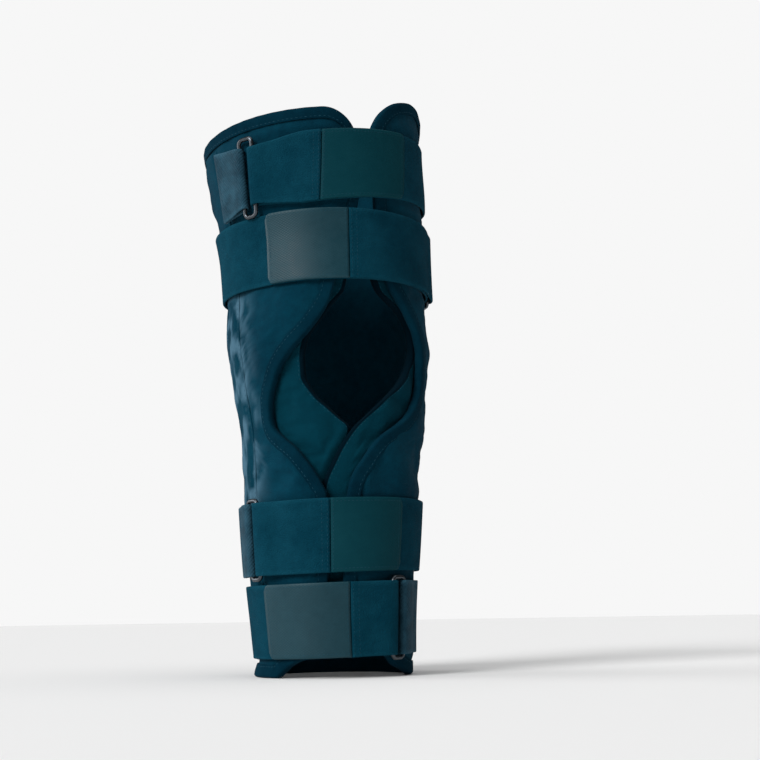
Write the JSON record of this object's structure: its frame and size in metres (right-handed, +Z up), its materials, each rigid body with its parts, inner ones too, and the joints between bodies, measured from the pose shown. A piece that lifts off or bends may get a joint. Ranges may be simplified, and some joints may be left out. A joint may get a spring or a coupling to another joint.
{
  "type": "knee immobilizer",
  "caption": "Padded wrap brace that holds a leg straight, with a kneecap window, side stay casings and wide straps that fold back through wire rings.",
  "frame": {"origin": "middle of the overall box in X and Y, on the level of the lower rim that it stands on", "axes": "+Z up the leg from calf to thigh, -Y the front of the knee, +X the inner side of a right leg"},
  "size_m": [0.1746, 0.1708, 0.4145],
  "materials": {
    "wrap": "brushed nylon over foam, dull navy teal",
    "pad": "brushed nylon over foam, dull",
    "binding": "smooth woven tape",
    "strap": "loop pile",
    "hook": "back of moulded hook tape, slightly shiny",
    "ring": "nickel plated wire"
  },
  "bodies": {
    "root": {"wrap_panel": "wrap", "hem_tape": "binding", "edge_tape": "binding", "kneecap_pad_outer": "pad", "kneecap_pad_inner": "pad", "stay_casing_outer": "wrap", "stay_casing_inner": "wrap", "strap_thigh_upper": "strap", "strap_thigh_lower": "strap", "strap_calf_upper": "strap", "strap_calf_lower": "strap", "hook_end_thigh_upper": "hook", "hook_end_thigh_lower": "hook", "hook_end_calf_upper": "hook", "hook_end_calf_lower": "hook", "ring_tab_thigh_upper": "strap", "ring_tab_thigh_lower": "strap", "ring_tab_calf_upper": "strap", "ring_tab_calf_lower": "strap", "ring_thigh_upper": "ring", "ring_thigh_lower": "ring", "ring_calf_upper": "ring", "ring_calf_lower": "ring"}
  },
  "joints": []
}
